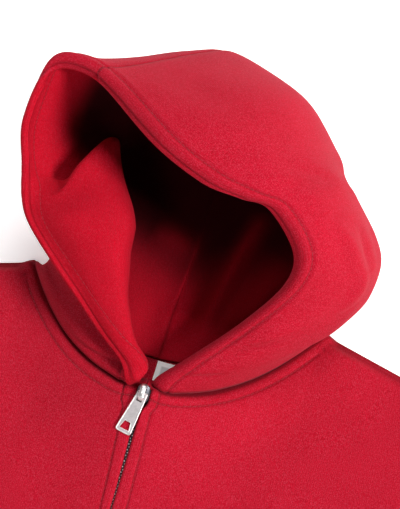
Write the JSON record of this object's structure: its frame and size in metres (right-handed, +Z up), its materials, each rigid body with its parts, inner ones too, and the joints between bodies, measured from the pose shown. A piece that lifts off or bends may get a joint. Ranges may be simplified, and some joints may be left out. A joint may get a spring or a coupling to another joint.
{
  "type": "kids hoodie",
  "caption": "Child's zip-through hooded sweatshirt in plain fleece, laid flat on its back with the lined hood filled out and open, rib cuffs and waistband, and a metal zip.",
  "frame": {"origin": "on the surface the garment lies on, straight under the top end of the zip", "axes": "+X towards the wearer's left sleeve, +Y from the waistband towards the hood, +Z up from the surface"},
  "size_m": [0.9342, 0.6999, 0.127],
  "materials": {
    "red_fleece": "matt brushed cotton fleece",
    "red_rib": "matt cotton rib knit",
    "red_lining": "matt cotton jersey",
    "zip_tape": "matt woven tape",
    "zip_teeth": "dark metal teeth",
    "slider_metal": "satin metal",
    "label_cloth": "smooth woven ribbon"
  },
  "bodies": {
    "garment": {"front_left": "red_fleece", "front_right": "red_fleece", "back": "red_fleece", "sleeve_left": "red_fleece", "sleeve_right": "red_fleece", "cuff_left": "red_rib", "cuff_right": "red_rib", "waistband": "red_rib", "hood_left": "red_fleece", "hood_right": "red_fleece", "hood_lining_left": "red_lining", "hood_lining_right": "red_lining", "zip_tape_left": "zip_tape", "zip_tape_right": "zip_tape", "zip_chain": "zip_teeth", "slider": "slider_metal", "label": "label_cloth"},
    "pull_tab": {"pull_tab": "slider_metal"}
  },
  "joints": [
    {"name": "pull_tab_hinge", "type": "hinge", "parent": "garment", "child": "pull_tab", "pos_m": [0.0004, -0.00745, 0.02574], "axis": [-0.9703, 0.2419, 0], "range_deg": [0, 110]}
  ]
}
